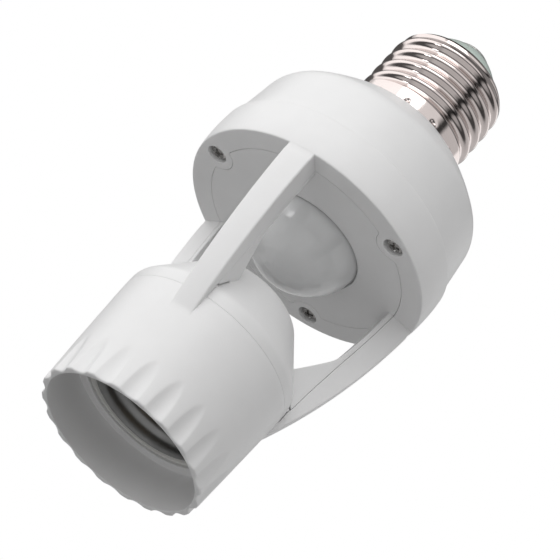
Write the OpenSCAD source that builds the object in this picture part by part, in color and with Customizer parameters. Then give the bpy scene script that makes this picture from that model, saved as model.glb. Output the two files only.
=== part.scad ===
// Motion sensor lamp holder that screws into an existing lamp socket.
// Millimetres. The lamp mouth faces down on z = 0, the plug points up, and the axis is z.
// Arm 1 stands over +x, the other two at 120 and 240 degrees, the three screws between them.

/* [Sleeve] */
// Inner radius of the lamp mouth
mouth_r = 17.5; // [17.3:0.1:17.6]
// Outer radius of the sleeve at the mouth rim
sleeve_rim_r = 18.85; // [18.8:0.05:19]
// Outer radius of the sleeve at its parting line
sleeve_top_r = 19.8; // [19.7:0.05:19.9]
// Height of the parting line between sleeve and dome
parting_z = 25.5; // [25.2:0.1:25.8]
// Depth of the ledge inside the mouth
ledge_z = 9.5; // [9.2:0.1:9.8]
// Number of grip flutes round the mouth
flute_count = 20; // [16:1:22]
// Height that the flutes reach up the sleeve
flute_h = 8.8; // [7.5:0.1:10]
// Depth of a flute at the rim
flute_depth = 0.75; // [0.5:0.05:0.85]

/* [Arms] */
// Width of an arm where it leaves the ring
arm_top_w = 6.0; // [5.6:0.1:6.4]
// Width of an arm where it runs into the sleeve
arm_foot_w = 4.9; // [4.7:0.1:5.2]
// Outward bow of an arm over its length
arm_bow = 1.5; // [1.3:0.1:1.7]
// Wall of the arm outside its wire channel
arm_wall = 1.2; // [1:0.05:1.3]
// Width of the wire channel in an arm
channel_w = 2.6; // [2.4:0.1:2.8]

/* [Ring and plate] */
// Height of the sensor plate's outer face
plate_z = 59.7; // [59.5:0.1:60]
// Largest outer radius of the ring
ring_r = 28.3; // [28.2:0.05:28.5]
// Height of the ring
ring_h = 9.3; // [9.2:0.1:9.6]
// Wall of the ring
ring_wall = 2; // [1.8:0.1:2.1]
// Thickness of the plate and of the ring's flange
plate_t = 2; // [1.9:0.05:2.1]
// Radius of the seam between plate and ring
seam_r = 23.1; // [23:0.05:23.2]
// Radius of the lens opening
lens_hole_r = 12.6; // [12.4:0.1:12.8]
// Distance of the three housing screws from the axis
screw_at_r = 24.3; // [24.25:0.05:24.35]

/* [Lens and board] */
// How far the lens bulges out of the plate
lens_rise = 11.5; // [10.5:0.1:11.8]
// Wall of the lens
lens_wall = 0.6; // [0.5:0.05:0.7]
// Thickness of the circuit board
board_t = 1.6; // [1.5:0.1:1.7]
// Radius of the circuit board
board_r = 21.3; // [21:0.1:21.5]
// Radius of the infrared detector's can
can_r = 4.6; // [4.4:0.1:4.8]

/* [Rear cap] */
// Radius of the rear dome's profile
cap_arc_r = 54.7; // [53:0.1:57]
// Radius of the soft edge between the cap's flank and its dome
cap_edge_r = 5; // [3:0.5:6]
// Wall of the rear cap
cap_wall = 1.8; // [1.7:0.05:1.9]
// Height of the seat that the plug stands on
plug_z = 91.7; // [91.4:0.1:92]

/* [Plug] */
// Crest radius of the plug's thread
plug_crest_r = 13.1; // [13.05:0.01:13.2]
// Thread pitch of plug and socket
pitch = 3.629; // [3.6:0.001:3.65]
// Sheet thickness of the two threaded shells
sheet_t = 0.3; // [0.25:0.01:0.32]
// Length of the plug's shell
plug_shell_h = 20.8; // [20.4:0.1:21.2]
// Height of the plug's tip over the end of its shell
tip_h = 7.2; // [7:0.1:7.5]

/* [Socket] */
// Smallest inner radius of the socket's thread
socket_r = 12.2; // [12.15:0.01:12.25]
// Height of the face that the socket's contacts stand on
contact_z = 27; // [26.8:0.1:27.2]
// Outer radius of the contact carrier
carrier_r = 15.2; // [15:0.1:15.3]
// Length of the flexing centre contact
leaf_l = 8.6; // [8:0.1:9]
// Rise of the flexing centre contact towards the lamp, in degrees
leaf_tilt = 14; // [12:0.5:15]

/* [Wires] */
// Radius of the wires in the arms
wire_r = 0.8; // [0.7:0.05:0.85]
// Radius of the leads to the plug
lead_r = 0.75; // [0.6:0.05:0.8]

/* [View] */
// Sub-part to draw, or all

/* [Hidden] */
$fn = 96;
thread_n = 36;
thread_rows = 8;
gap = 0.1;
top_z = plate_z + plate_t;
seam_z = plate_z + ring_h;
tip_z = plug_z + plug_shell_h + tip_h;
board_z = top_z + 5.3;
board_top = board_z + board_t;
ring_in = ring_r - ring_wall;
// the arm's outer face is one arc from the sleeve up to the ring
foot = [sleeve_rim_r + 0.72, 21];
root = [ring_r - 0.3, plate_z];
chord = norm(root - foot);
chord_u = (root - foot) / chord;
arc_r = (chord * chord / 4 + arm_bow * arm_bow) / (2 * arm_bow);
arc_c = (foot + root) / 2 - (arc_r - arm_bow) * [chord_u[1], -chord_u[0]];
// corners of the dome's outline before they are rounded
dome_r = sleeve_top_r;
dome_shoulder = [dome_r - 0.05, parting_z + 2.8];
dome_crown = [dome_r - 9.05, parting_z + 15.7];
base_t = 2.5;
base_top = contact_z + base_t;
carrier_rim = ledge_z + 0.3;
// the cap's flank leans in from the seam and turns into the dome's arc
seat_r = plug_crest_r + 0.2;
cap_c_r = -15.1;
cap_c = [cap_c_r, plug_z - sqrt(pow(cap_arc_r, 2) - pow(seat_r - cap_c_r, 2))];
cap_lean = 6.3;
cap_n = [cos(cap_lean), sin(cap_lean)];
cap_h = cap_n * ([ring_r - 0.75, seam_z] - cap_c) - cap_edge_r;
cap_corner = cap_c + cap_h * cap_n
           + sqrt(pow(cap_arc_r - cap_edge_r, 2) - cap_h * cap_h) * [-cap_n[1], cap_n[0]];
cap_turn = atan2(cap_corner[1] - cap_c[1], cap_corner[0] - cap_c[0]);
cap_end = asin((plug_z - cap_c[1]) / cap_arc_r);
// start, tilt and length of a wire's passage from the dome into an arm
pass_at = [13, base_top + 2.4];
pass_tilt = 52;
pass_l = 11.55;
boss_r = 2.4;
screw_head_r = 1.95;
screw_head_h = 0.9;
screw_sink = 0.45;
post_at = 8.8;
leaf_t = 0.4;
leaf_x = -5.2;
arms = [0, 120, 240];
screws = [60, 180, 300];
posts = [30, 150, 270];
wire_arms = [120, 240];

// points of an arc in the plane, from angle a to angle b in n steps
function arc_points(c, r, a, b, n) = [for (i = [0:n])
    let(t = a + (b - a) * i / n) c + r * [cos(t), sin(t)]];

function unit(v) = v / norm(v);

// arc of radius r from point a to point b, bulging to the right of the way from a to b
function arc_between(a, b, r, n) =
    let(u = unit(b - a), half = norm(b - a) / 2)
    let(c = (a + b) / 2 - sqrt(r * r - half * half) * [u[1], -u[0]])
    arc_points(c, r, atan2(a[1] - c[1], a[0] - c[0]), atan2(b[1] - c[1], b[0] - c[0]), n);

// arc of radius r that rounds the corner p between a and b
function bend(a, p, b, r, n) =
    let(u = unit(a - p), v = unit(b - p), half = acos(u * v) / 2)
    let(c = p + unit(u + v) * r / sin(half))
    let(from = p + u * r / tan(half) - c, to = p + v * r / tan(half) - c)
    let(start = atan2(from[1], from[0]), turn = atan2(to[1], to[0]) - start)
    arc_points(c, r, start, start + turn - 360 * round(turn / 360), n);

// radius of a threaded shell at a height and angle, w from 0 for plain to 1 for full thread
function thread_r(mean, h, w, z, z0, a) = mean + w * h * cos(a - 360 * (z - z0) / pitch);

// closed sheet that runs through rows of [height, mean radius, thread share]
module sheet(rows, h, z0) {
    pts = [for (q = rows) for (j = [0:thread_n - 1])
        let(a = 360 * j / thread_n, r = thread_r(q[1], h, q[2], q[0], z0, a))
        [r * cos(a), r * sin(a), q[0]]];
    m = len(rows);
    faces = [for (i = [0:m - 1]) for (j = [0:thread_n - 1])
        let(k = (i + 1) % m, l = (j + 1) % thread_n)
        each [[i * thread_n + j, k * thread_n + j, k * thread_n + l],
              [i * thread_n + j, k * thread_n + l, i * thread_n + l]]];
    polyhedron(points = pts, faces = faces, convexity = 8);
}

// round wire through the points of a path, each piece a little longer than its step
module wire(path, r) {
    for (i = [0:len(path) - 2]) {
        d = (path[i + 1] - path[i]) / norm(path[i + 1] - path[i]);
        a = path[i] - d * (i > 0 ? 0.25 : 0);
        b = path[i + 1] + d * (i < len(path) - 2 ? 0.3 : 0);
        translate(a)
        rotate([0, acos(d[2]), atan2(d[1], d[0])])
        cylinder(h = norm(b - a), r = r * (1 - 0.004 * i), $fn = 24);
    }
}

// slab as wide as an arm, w0 at the foot and w1 at the ring, over +x
module arm_slab(w0, w1, x0, x1, z0, z1) {
    translate([x0, 0, 0])
    rotate([90, 0, 90])
    linear_extrude(height = x1 - x0)
    polygon([[-w0 / 2, z0], [w0 / 2, z0], [w1 / 2, z1], [-w1 / 2, z1]]);
}

// side of the arm that faces the axis, as points [radius, height]
function arm_inside(d) = [
    [sleeve_top_r + 0.3 - d, parting_z],
    [sleeve_top_r + 0.4 - d, 29],
    [sleeve_top_r + 0.6 - d, 33],
    [sleeve_top_r + 1.1 - d, 38],
    [sleeve_top_r + 1.6 - d, 43],
    [seam_r - 0.6 - d, 52],
    [seam_r + 0.06 - d, plate_z]];

// outline of an arm's section, cut by the long arc
module arm_profile(d) {
    intersection() {
        translate(arc_c) circle(r = arc_r - d, $fn = 720);
        polygon(concat(
            [[sleeve_rim_r + 0.2, 20], [sleeve_rim_r + 0.2, parting_z]],
            arm_inside(0),
            [[seam_r + 0.6, plate_z + 0.8], [ring_r - 1, plate_z + 0.8], [ring_r - 1, plate_z + 0.25],
             [40, plate_z + 0.25], [40, 20]]));
    }
}

module channel_profile() {
    intersection() {
        translate(arc_c) circle(r = arc_r - arm_wall, $fn = 720);
        polygon(concat(
            [[17, 33.4], [17, top_z + 1], [ring_in - 0.6, top_z + 1]],
            [[ring_in - 0.6, plate_z - 3], [30, 52], [30, 33.4]]));
    }
}

// scoop that a round-nosed tool leaves, deepest at the rim
module flute() {
    ball = 2.7;
    sweep = flute_h * flute_h / (2 * flute_depth);
    lean = atan((sleeve_top_r - sleeve_rim_r) / parting_z);
    translate([sleeve_rim_r - flute_depth, 0, 0])
    rotate([0, lean, 0])
    translate([sweep + ball, 0, 0])
    rotate([90, 0, 0])
    rotate(180 - 16)
    rotate_extrude(angle = 32, $fn = 360)
    translate([sweep, 0]) circle(r = ball, $fn = 32);
}

module outer_cage() color([0.95, 0.95, 0.94]) {
    difference() {
        union() {
            // sleeve with its ledge and the recess for the dome's rim
            rotate_extrude() polygon([
                [mouth_r, 0.3], [mouth_r + 0.25, 0], [sleeve_rim_r - 0.35, 0], [sleeve_rim_r, 0.4],
                [sleeve_top_r - 0.05, parting_z - 0.15], [sleeve_top_r - 0.2, parting_z],
                [sleeve_top_r - 1.55, parting_z], [sleeve_top_r - 1.55, parting_z - 2.1],
                [mouth_r + 0.1, parting_z - 2.1], [mouth_r + 0.1, ledge_z + 1.8],
                [carrier_r + 0.3, ledge_z + 1.8], [carrier_r + 0.3, ledge_z], [mouth_r, ledge_z]]);
            for (a = [0:60:300]) {
                rotate(a + 30)
                translate([carrier_r + 0.25, -0.7, ledge_z + 1])
                cube([mouth_r - carrier_r + 0.6, 1.4, parting_z - ledge_z - 4]);
            }
            // ring, rounded at its lower edge and drawn in at the seam
            rotate_extrude() polygon(concat(
                [[seam_r, plate_z]],
                arc_points([ring_r - 0.7, plate_z + 0.35], 0.35, -90, -5, 4),
                arc_points([ring_r - 40, plate_z + 5.3], 40, -6.2, 4.9, 8),
                [[ring_r - 0.6, seam_z], [ring_in, seam_z], [ring_in, top_z], [seam_r, top_z]]));
            for (a = screws) {
                rotate(a) translate([screw_at_r, 0, plate_z])
                intersection() {
                    cylinder(h = plate_t, r = 3.85);
                    translate([-screw_at_r, 0, -1]) cylinder(h = plate_t + 2, r = ring_r - 1);
                }
            }
            for (a = arms) {
                rotate(a) intersection() {
                    rotate([0, 0, -20]) rotate_extrude(angle = 40, $fn = 180) arm_profile(0);
                    arm_slab(arm_foot_w, arm_top_w, 10, 40, 20, plate_z + 1);
                }
            }
        }
        for (a = arms) {
            rotate(a) intersection() {
                rotate([0, 0, -20]) rotate_extrude(angle = 40, $fn = 180) channel_profile();
                translate([10, -channel_w / 2, 30]) cube([30, channel_w, 40]);
            }
        }
        for (i = [0:flute_count - 1]) {
            rotate(11 + 360 * i / flute_count) flute();
        }
        for (a = screws) {
            rotate(a) translate([screw_at_r, 0, plate_z]) {
                translate([0, 0, -1]) cylinder(h = 1 + screw_sink + screw_head_h, r = screw_head_r + 0.25);
                translate([0, 0, -1]) cylinder(h = plate_t + 2, r = 1.45, $fn = 48);
            }
        }
    }
}

// outline of the dome that closes the sleeve, drawn in by d
module dome_outline(d) {
    shoulder = dome_shoulder - [d, d * 0.3];
    crown = dome_crown - [d * 0.75, d];
    polygon(concat(
        [[0, parting_z], [shoulder[0] - 0.15, parting_z], [shoulder[0], parting_z + 0.15]],
        bend([shoulder[0], parting_z], shoulder, crown, 3.2, 5),
        bend(shoulder, crown, [0, crown[1]], 4, 7),
        [[0, crown[1]]]));
}

// liner that closes an arm's channel and widens into a gusset on the dome
module liner_profile() {
    polygon(concat(
        [[sleeve_top_r - 5.6, 33.4], [sleeve_top_r - 1.2, 29.4]],
        [for (i = [1:5]) arm_inside(gap)[i]],
        [[seam_r - 0.12 - gap, plate_z], [seam_r - 0.6, plate_z + 0.6],
         [seam_r - 1.1, plate_z + 0.6], [seam_r - 1.6, 52],
         [sleeve_top_r + 1, 46], [sleeve_top_r + 0.1, 43.3], [sleeve_top_r - 1.7, 40.3],
         [sleeve_top_r - 3.7, 37.2], [sleeve_top_r - 5.5, 34.4]]));
}

module inner_frame() color([0.93, 0.93, 0.92]) {
    difference() {
        union() {
            rotate_extrude() difference() {
                dome_outline(0);
                dome_outline(2);
                translate([0, parting_z - 1]) square([dome_r - 2.2, 1.1]);
            }
            // rim that stands in the sleeve's recess
            rotate_extrude() polygon([
                [dome_r - 3.6, parting_z - 2], [dome_r - 1.7, parting_z - 2],
                [dome_r - 1.7, parting_z + 0.2], [dome_r - 3.6, parting_z + 2]]);
            for (s = [-1, 1]) {
                intersection() {
                    translate([0, s * post_at, base_top]) cylinder(h = 12, r = 2.3, $fn = 48);
                    rotate_extrude() dome_outline(0.8);
                }
            }
            for (a = arms) {
                rotate(a) intersection() {
                    rotate([0, 0, -20]) rotate_extrude(angle = 40, $fn = 180) liner_profile();
                    arm_slab(arm_foot_w, arm_top_w, 10, 40, 20, plate_z + 1);
                }
            }
            // plate with a step that lies on the ring's flange
            translate([0, 0, plate_z]) cylinder(h = plate_t, r = seam_r - gap);
            translate([0, 0, top_z]) difference() {
                cylinder(h = 1.5, r = ring_in - 0.8);
                translate([0, 0, -1]) cylinder(h = 4, r = lens_hole_r + 5);
            }
            for (a = posts) {
                rotate(a) translate([18.4, 0, plate_z + 1])
                cylinder(h = board_z - plate_z - 1, r = 2.2, $fn = 48);
            }
            for (a = [90, 210, 330]) {
                rotate(a) translate([15.8, 0, plate_z + 1]) cylinder(h = plate_t + 0.8, r = 0.8, $fn = 32);
            }
        }
        for (a = screws) {
            rotate(a) translate([screw_at_r, 0, plate_z - 1]) {
                cylinder(h = plate_t + 1, r = 3.95);
                cylinder(h = plate_t + 5, r = boss_r + 0.3);
            }
        }
        // passages for the wires, from the dome into the arm and up into the housing
        for (a = wire_arms) {
            rotate(a) {
                translate([pass_at[0], 0, pass_at[1]]) rotate([0, pass_tilt, 0])
                cylinder(h = pass_l + 0.65, r = wire_r + 0.25, $fn = 32);
                translate([seam_r - 0.6, -channel_w / 2, top_z - 0.1]) cube([6, channel_w, 4]);
            }
        }
        translate([0, 0, plate_z - 1]) cylinder(h = plate_t + 2, r = lens_hole_r);
        translate([0, 0, plate_z - 0.1]) cylinder(h = 0.5, r1 = lens_hole_r + 0.5, r2 = lens_hole_r);
        translate([0, 0, plate_z + 0.8]) cylinder(h = plate_t, r = lens_hole_r + 2);
        for (a = posts) {
            rotate(a) translate([18.4, 0, board_z - 4]) cylinder(h = 5, r = 0.9, $fn = 32);
        }
        for (s = [-1, 1]) {
            translate([0, s * post_at, base_top - 1]) cylinder(h = 5.5, r = 1, $fn = 32);
        }
    }
}

// outline of the rear cap, drawn in by d
module cap_outline(d) {
    flank = arc_points(cap_corner, cap_edge_r - d, cap_lean, cap_turn, 5);
    dome = arc_points(cap_c, cap_arc_r - d, cap_turn, cap_end, 12);
    polygon(concat(
        [[0, seam_z], [ring_r - 0.75 - d, seam_z]], flank,
        [for (i = [1:12]) dome[i]],
        [[0, dome[12][1]]]));
}

module rear_cap() color([0.94, 0.94, 0.93]) {
    difference() {
        union() {
            rotate_extrude() difference() {
                cap_outline(0);
                cap_outline(cap_wall);
            }
            // rim that stands inside the ring
            rotate_extrude() polygon([
                [ring_in - 1.5, seam_z - 2], [ring_in - gap, seam_z - 2],
                [ring_in - gap, seam_z + 0.2], [ring_in - 1.5, seam_z + 2.5]]);
            // neck that carries the plug's shell
            translate([0, 0, plug_z - 1.5]) cylinder(h = 4.2, r = plug_crest_r - 0.5);
            translate([0, 0, plug_z - 1.5]) cylinder(h = 13.8, r = plug_crest_r - 1.65);
            // bosses for the housing screws
            for (a = screws) {
                intersection() {
                    rotate(a) translate([screw_at_r, 0, top_z]) cylinder(h = 14, r = boss_r, $fn = 48);
                    translate([0, 0, top_z - 1]) cylinder(h = 20, r = ring_in - gap - 0.06);
                }
            }
        }
        translate([0, 0, plug_z - 4]) cylinder(h = 20, r = plug_crest_r - 3.4);
        for (a = screws) {
            rotate(a) translate([screw_at_r, 0, top_z - 1]) cylinder(h = 9, r = 1.05, $fn = 32);
        }
        for (a = arms) {
            rotate(a) translate([ring_in - 3, -channel_w / 2 - 0.3, seam_z - 3])
            cube([4, channel_w + 0.6, 2.8]);
        }
    }
}

// round screw with a cross recess, head down at z = 0
module screw_down(head_r, head_h, shank_r, l) {
    difference() {
        union() {
            cylinder(h = head_h, r = head_r, $fn = 48);
            cylinder(h = l, r = shank_r, $fn = 32);
        }
        for (a = [0, 90]) {
            rotate(a) translate([-head_r * 0.62, -0.3, -0.1]) cube([head_r * 1.24, 0.6, head_h * 0.6]);
        }
    }
}

module housing_screws() color([0.35, 0.34, 0.33]) {
    for (a = screws) {
        rotate(a) translate([screw_at_r, 0, plate_z + screw_sink])
        screw_down(screw_head_r, screw_head_h, 1, 8.1);
    }
}

module lens() color([0.93, 0.94, 0.95]) {
    base = lens_hole_r - 0.25;
    ball = (base * base + lens_rise * lens_rise) / (2 * lens_rise);
    translate([0, 0, plate_z + 0.8]) difference() {
        union() {
            intersection() {
                translate([0, 0, ball - lens_rise]) sphere(r = ball, $fn = 120);
                translate([-20, -20, -20]) cube([40, 40, 20.3]);
            }
            cylinder(h = 0.6, r = lens_hole_r + 1.85);
        }
        intersection() {
            translate([0, 0, ball - lens_rise]) sphere(r = ball - lens_wall, $fn = 120);
            translate([-20, -20, -20]) cube([40, 40, 20.2]);
        }
        cylinder(h = 2, r = base - lens_wall - 0.3);
    }
}

module lens_retainer() color([0.2, 0.2, 0.21]) {
    difference() {
        union() {
            translate([0, 0, plate_z + 1.4]) cylinder(h = plate_t - 0.2, r = lens_hole_r + 1.85);
            translate([0, 0, top_z]) cylinder(h = 1.2, r = lens_hole_r + 4.6);
        }
        cylinder(h = 80, r = lens_hole_r - 0.1);
        for (a = [90, 210, 330]) {
            rotate(a) translate([15.8, 0, top_z - 1]) cylinder(h = 3, r = 0.9, $fn = 32);
        }
        for (a = posts) {
            rotate(a) translate([18.4, 0, top_z - 1]) cylinder(h = 3, r = 2.4, $fn = 48);
        }
    }
}

module circuit_board() color([0.15, 0.42, 0.25]) {
    difference() {
        translate([0, 0, board_z]) cylinder(h = board_t, r = board_r);
        for (a = posts) {
            rotate(a) translate([18.4, 0, board_z - 1]) cylinder(h = 4, r = 1.3, $fn = 32);
        }
        for (a = [0, 120, 240]) {
            rotate(a) translate([2.54, 0, board_z - 1]) cylinder(h = 4, r = 0.4, $fn = 24);
        }
        for (s = [-1, 1]) {
            translate([9, 4.5 + s * 1.7, board_z - 1]) cylinder(h = 4, r = 0.4, $fn = 24);
        }
    }
}

module board_screws() color([0.72, 0.72, 0.7]) {
    for (a = posts) {
        rotate(a) translate([18.4, 0, board_top + 1.1]) rotate([180, 0, 0]) screw_down(2, 1.1, 0.85, 5.8);
    }
}

module infrared_detector() color([0.78, 0.78, 0.76]) {
    difference() {
        union() {
            translate([0, 0, board_z - 4.4]) cylinder(h = 4.2, r = can_r);
            translate([0, 0, board_z - 0.6]) cylinder(h = 0.6, r = can_r + 0.4);
        }
        translate([-2, -1.5, board_z - 5]) cube([4, 3, 0.9]);
    }
    for (a = [0, 120, 240]) {
        rotate(a) translate([2.54, 0, board_z - 0.3]) cylinder(h = board_t + 0.25, r = 0.25, $fn = 24);
    }
}

module daylight_sensor() color([0.75, 0.45, 0.25]) {
    translate([9, 4.5, board_z - 2.6]) cylinder(h = 1.8, r = 2.4, $fn = 48);
    for (s = [-1, 1]) {
        translate([9, 4.5 + s * 1.7, board_z - 1.4]) cylinder(h = board_t + 1.35, r = 0.25, $fn = 24);
    }
    translate([7.6, 2.1, board_z - 0.9]) cube([2.8, 4.8, 0.9]);
}

module relay() color([0.15, 0.35, 0.65]) {
    translate([-13, 1.2, board_top]) difference() {
        cube([17.6, 10.1, 12.3]);
        for (x = [-0.1, 17.3]) {
            translate([x, -1, 2]) cube([0.4, 13, 0.4]);
        }
        translate([2, 1.6, 12]) cube([13.6, 6.9, 0.5]);
    }
}

module film_capacitor() color([0.85, 0.65, 0.12]) {
    translate([-8.5, -10.5, board_top]) difference() {
        cube([17, 7.4, 11.6]);
        translate([-1, 0.9, -0.1]) cube([19, 5.6, 0.4]);
    }
}

module electrolytic_capacitor() color([0.16, 0.18, 0.22]) {
    translate([10.9, 5.4, board_top]) difference() {
        union() {
            cylinder(h = 1.2, r = 4);
            translate([0, 0, 1.1]) cylinder(h = 0.7, r = 3.75);
            translate([0, 0, 1.7]) cylinder(h = 8.8, r = 4);
        }
        for (a = [0, 60, 120]) {
            rotate(a) translate([-3, -0.1, 10.3]) cube([6, 0.2, 0.5]);
        }
    }
}

module rectifier_diodes() color([0.12, 0.12, 0.12]) {
    for (i = [0:3]) {
        translate([-9.6 + i * 3.3, -13.4, board_top + 1.3]) {
            rotate([90, 0, 0]) translate([0, 0, -2.2]) cylinder(h = 4.4, r = 1.3, $fn = 48);
        }
    }
}

module fusible_resistor() color([0.45, 0.6, 0.72]) {
    translate([12.6, -8.6, board_top + 1.9]) rotate([90, 0, 20]) {
        translate([0, 0, -4]) cylinder(h = 8, r = 1.6, $fn = 48);
        translate([0, 0, -4.3]) cylinder(h = 2.2, r = 1.9, $fn = 48);
        translate([0, 0, 2.1]) cylinder(h = 2.2, r = 1.9, $fn = 48);
    }
}

module control_chip() color([0.1, 0.1, 0.11]) {
    translate([-14, -5, board_z - 1.7]) {
        difference() {
            cube([3.9, 9.9, 1.5]);
            translate([0.8, 0.9, -0.1]) cylinder(h = 0.3, r = 0.4, $fn = 24);
        }
        for (i = [0:7]) {
            translate([-0.9, 0.6 + i * 1.2, 0.8]) cube([5.7, 0.4, 0.9]);
        }
    }
}

// rows of the plug's sheet, from the seat up its outside and back down its inside
plug_mean = plug_crest_r - 0.485;
plug_end = plug_z + plug_shell_h;
thread_from = plug_z + 3.2;
thread_to = plug_end - 1.5;
plug_steps = round((thread_to - thread_from) / pitch * thread_rows);
function ramp(z, a, b) = min(1, max(0, (z - a) / 1.6), max(0, (b - z) / 1.6));
plug_outside = concat(
    [[plug_z, plug_crest_r + 0.1, 0], [plug_z + 2.5, plug_crest_r + 0.1, 0]],
    [for (i = [0:plug_steps]) let(z = thread_from + (thread_to - thread_from) * i / plug_steps)
        [z, plug_mean + 0.3 * (1 - min(1, i / 3)), ramp(z, thread_from, thread_to)]],
    [[plug_end - 0.95, plug_mean - 0.35, 0], [plug_end - 0.5, plug_mean - 0.85, 0],
     [plug_end - 0.15, plug_mean - 1.4, 0], [plug_end, plug_mean - 2.1, 0]]);
plug_rows = concat(plug_outside,
    [[plug_end - sheet_t, plug_mean - 2.1, 0], [plug_end - 0.15 - sheet_t, plug_mean - 1.55, 0],
     [plug_end - 0.65 - sheet_t * 0.5, plug_mean - 0.85 - sheet_t * 0.8, 0]],
    [for (i = [0:len(plug_outside) - 4]) let(q = plug_outside[len(plug_outside) - 4 - i])
        [q[0], q[1] - sheet_t, q[2]]]);

module plug_shell() color([0.8, 0.78, 0.74]) {
    sheet(plug_rows, 0.485, 104.7 + pitch * 64 / 360);
}

module plug_insulator() color([0.82, 0.88, 0.82]) {
    neck_r = plug_mean - 2.2;
    difference() {
        union() {
            translate([0, 0, plug_end - 3.4]) cylinder(h = 3.6, r = neck_r);
            rotate_extrude() polygon(concat(
                [[0, plug_end - 1], [neck_r - 0.3, plug_end - 1]],
                arc_between([neck_r - 0.3, plug_end + 0.1], [5.2, tip_z - 1.5], 15.2, 8),
                [[0, tip_z - 1.5]]));
        }
        translate([0, 0, plug_end - 5]) cylinder(h = 14, r = 1.5, $fn = 32);
    }
}

module plug_contact() color([0.78, 0.77, 0.75]) {
    difference() {
        union() {
            rotate_extrude() polygon([
                [0, tip_z - 1.5], [4.9, tip_z - 1.5], [4.9, tip_z - 1.1], [4.3, tip_z - 0.5],
                [2.6, tip_z - 0.1], [2.2, tip_z], [0, tip_z]]);
            translate([0, 0, tip_z - 5.6]) cylinder(h = 4.6, r = 1.35, $fn = 32);
        }
        translate([0, 0, tip_z - 6.6]) cylinder(h = 5.6, r = 0.95, $fn = 32);
    }
}

module plug_lead() color([0.75, 0.12, 0.1]) {
    wire([[15.5, -1, board_top], [15.5, -1, board_top + 3.4], [7, -2, plug_z - 5.7], [3, 0, plug_z + 2.3],
          [0, 0, plug_z + 16.3], [0, 0, tip_z - 1.4]], lead_r);
}

module shell_lead() color([0.12, 0.25, 0.6]) {
    wire([[-15.5, -1, board_top], [-15.5, -1, board_top + 3.4], [-8.3, -2, plug_z - 5.7],
          [-8.3, 0, plug_z + 2.3], [-8.3, 0, plug_z + 13.3],
          [2.5 - plug_crest_r, 0, plug_z + 13.3]], lead_r);
}

module socket_carrier() color([0.9, 0.89, 0.86]) {
    wall_in = socket_r + 1.75;
    difference() {
        union() {
            difference() {
                translate([0, 0, carrier_rim]) cylinder(h = base_top - carrier_rim, r = carrier_r);
                translate([0, 0, carrier_rim - 1]) cylinder(h = contact_z - carrier_rim + 1, r = wall_in);
                translate([0, 0, carrier_rim - 0.01]) cylinder(h = 0.5, r1 = wall_in + 0.5, r2 = wall_in);
            }
            // collar that centres the shell
            translate([0, 0, contact_z - 1.4]) difference() {
                cylinder(h = 1.5, r = wall_in + 0.1);
                translate([0, 0, -1]) cylinder(h = 2.4, r = socket_r + 0.8);
            }
        }
        for (s = [-1, 1]) {
            translate([0, s * post_at, contact_z - 1]) cylinder(h = 5, r = 1.35, $fn = 32);
        }
        for (x = [leaf_x - 3, 8.4]) {
            translate([x, 0, contact_z - 1]) cylinder(h = 5, r = 0.85, $fn = 32);
        }
        // slot that the shell's tab comes through
        translate([socket_r + 0.65, -1.8, contact_z - 3]) cube([0.75, 3.6, 8]);
    }
}

module carrier_screws() color([0.7, 0.7, 0.68]) {
    for (s = [-1, 1]) {
        translate([0, s * post_at, contact_z - 1.3]) screw_down(2.4, 1.3, 0.95, 7.6);
    }
}

socket_mean = socket_r + 0.5;
socket_from = carrier_rim + 0.9;
socket_to = contact_z - 3;
socket_steps = round((socket_to - socket_from) / pitch * thread_rows);
socket_inside = concat(
    [[carrier_rim, socket_mean + 0.5, 0], [carrier_rim + 0.5, socket_mean + 0.4, 0]],
    [for (i = [0:socket_steps]) let(z = socket_from + (socket_to - socket_from) * i / socket_steps)
        [z, socket_mean, ramp(z, socket_from - 0.4, socket_to + 0.4)]],
    [[contact_z - 2.2, socket_mean - 0.2, 0], [contact_z, socket_mean - 0.2, 0]]);
socket_rows = concat(
    [for (q = socket_inside) [q[0], q[1] + sheet_t, q[2]]],
    [for (i = [0:len(socket_inside) - 1]) socket_inside[len(socket_inside) - 1 - i]]);

module socket_shell() color([0.8, 0.74, 0.6]) {
    sheet(socket_rows, 0.5, carrier_rim);
}

module shell_tab() color([0.8, 0.68, 0.4]) {
    x = socket_r + 0.82;
    difference() {
        union() {
            translate([6.2, -1.5, base_top]) cube([x - 5.8, 3, 0.4]);
            translate([x, -1.5, contact_z - 2.4]) cube([0.4, 3, base_t + 2.8]);
        }
        translate([8.4, 0, base_top - 1]) cylinder(h = 3, r = 0.85, $fn = 32);
    }
}

module contact_foot() color([0.82, 0.6, 0.36]) {
    difference() {
        translate([leaf_x - 5, -2, contact_z - leaf_t]) cube([4.6, 4, leaf_t]);
        translate([leaf_x - 3, 0, contact_z - 2]) cylinder(h = 3, r = 0.85, $fn = 32);
    }
}

module centre_contact() color([0.82, 0.6, 0.36]) {
    translate([leaf_x, 0, contact_z - leaf_t / 2])
    rotate([0, leaf_tilt, 0]) {
        rotate([90, 0, 0]) translate([0, 0, -2]) cylinder(h = 4, r = leaf_t / 2, $fn = 32);
        translate([0, -2, -leaf_t / 2]) cube([leaf_l - 2.5, 4, leaf_t]);
        translate([leaf_l - 3, -2.6, -leaf_t / 2]) cube([3, 5.2, leaf_t]);
        translate([leaf_l - 1.5, 0, -0.45]) cylinder(h = 0.5, r1 = 0.7, r2 = 1.1, $fn = 32);
    }
}

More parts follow.
